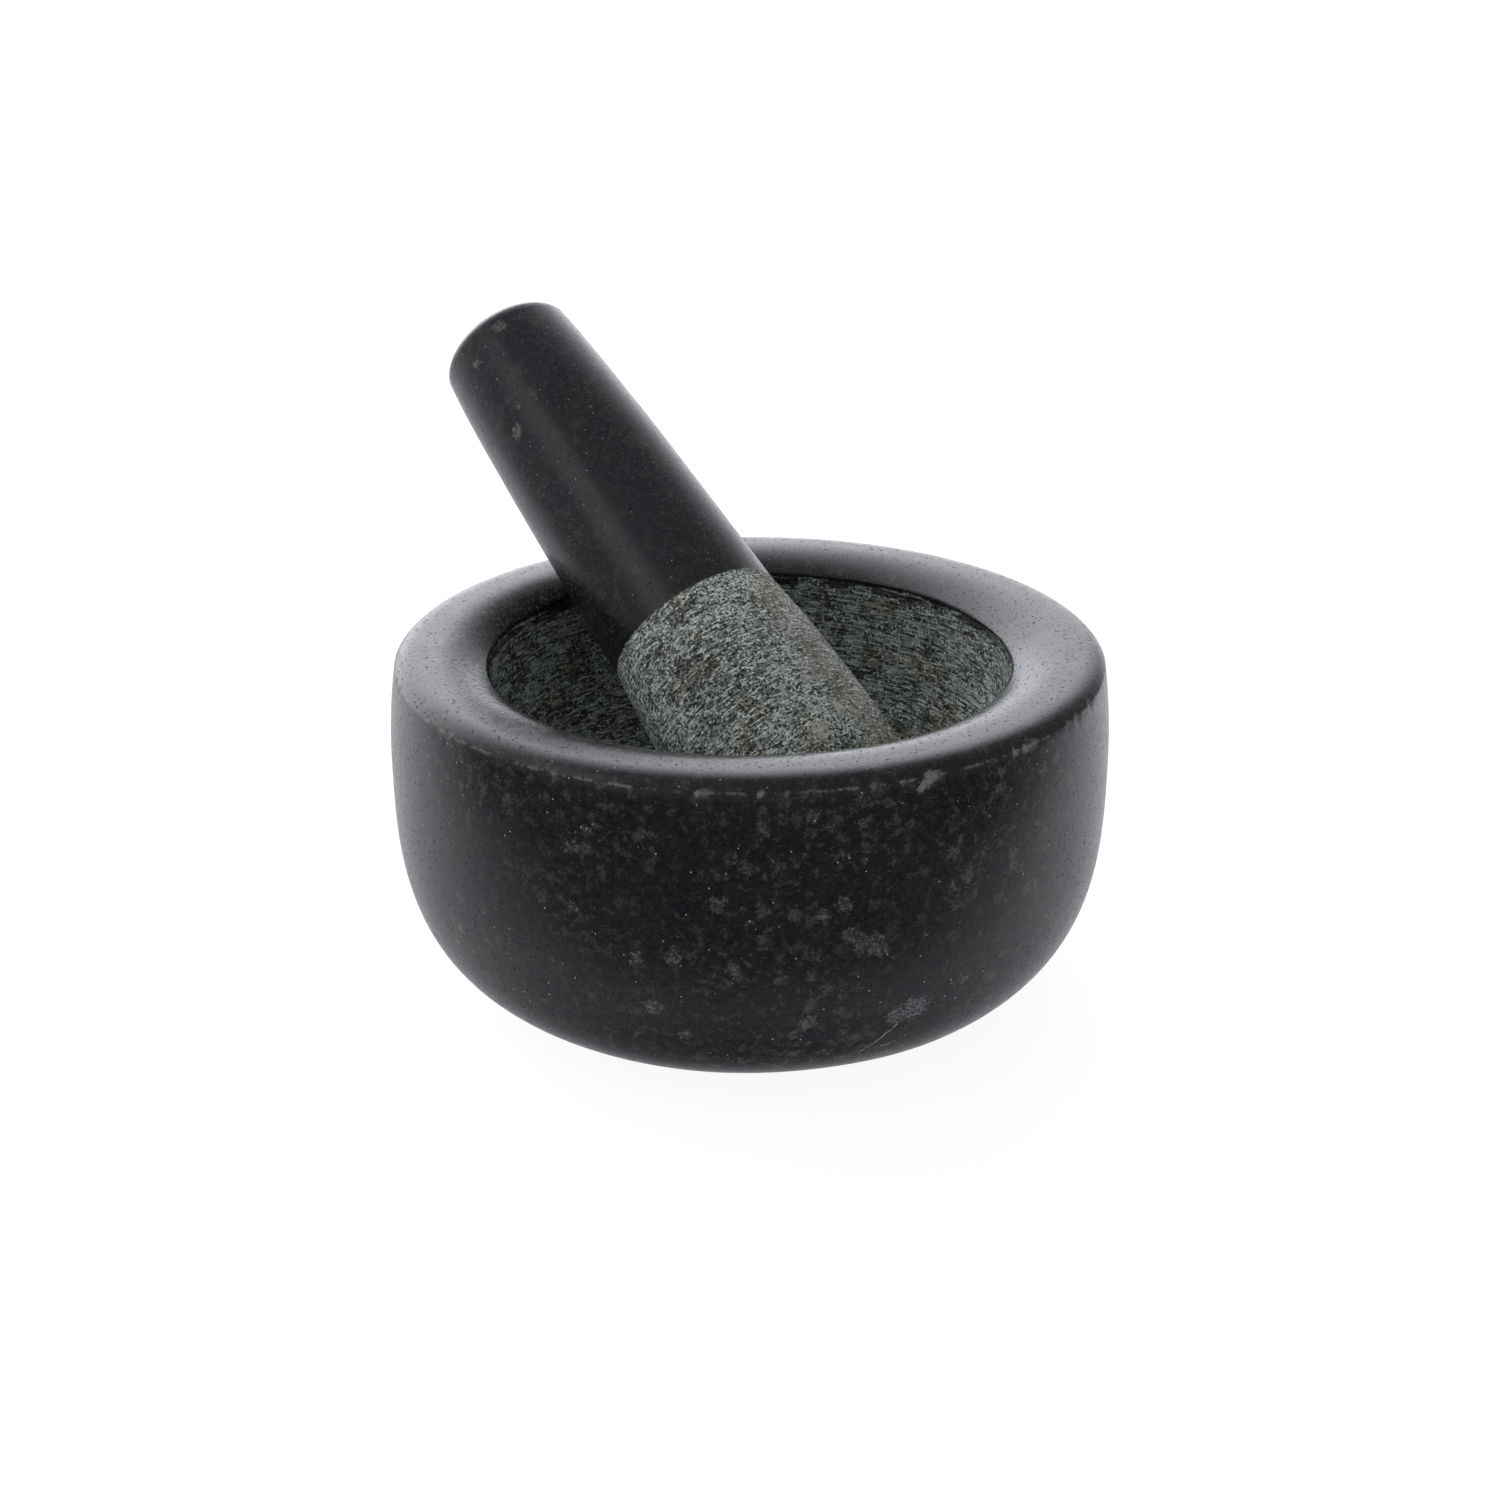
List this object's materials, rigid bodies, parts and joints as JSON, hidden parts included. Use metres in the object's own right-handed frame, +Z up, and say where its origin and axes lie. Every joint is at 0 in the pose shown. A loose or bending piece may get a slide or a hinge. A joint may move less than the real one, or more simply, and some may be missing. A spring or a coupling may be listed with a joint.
{
  "type": "mortar and pestle",
  "caption": "Squat round dark stone mortar with a deep ground bowl, a wide rounded rim and a loose stone pestle leaning in it, for grinding spices.",
  "frame": {"origin": "centre of the flat foot that the mortar stands on", "axes": "+Z up along the mortar's axis; -Y towards the front, the side away from the pestle's handle; +X to the right"},
  "size_m": [0.14, 0.1472, 0.1214],
  "materials": {
    "mortar_stone": "polished dark granite outside and on the rim, ground bowl",
    "pestle_stone": "polished dark granite handle, ground head"
  },
  "bodies": {
    "mortar": {"mortar": "mortar_stone"},
    "pestle": {"pestle": "pestle_stone"}
  },
  "joints": [
    {"name": "pestle_lift", "type": "slide", "parent": "mortar", "child": "pestle", "axis": [0, 0, 1], "range_m": [0, 0.08]}
  ]
}
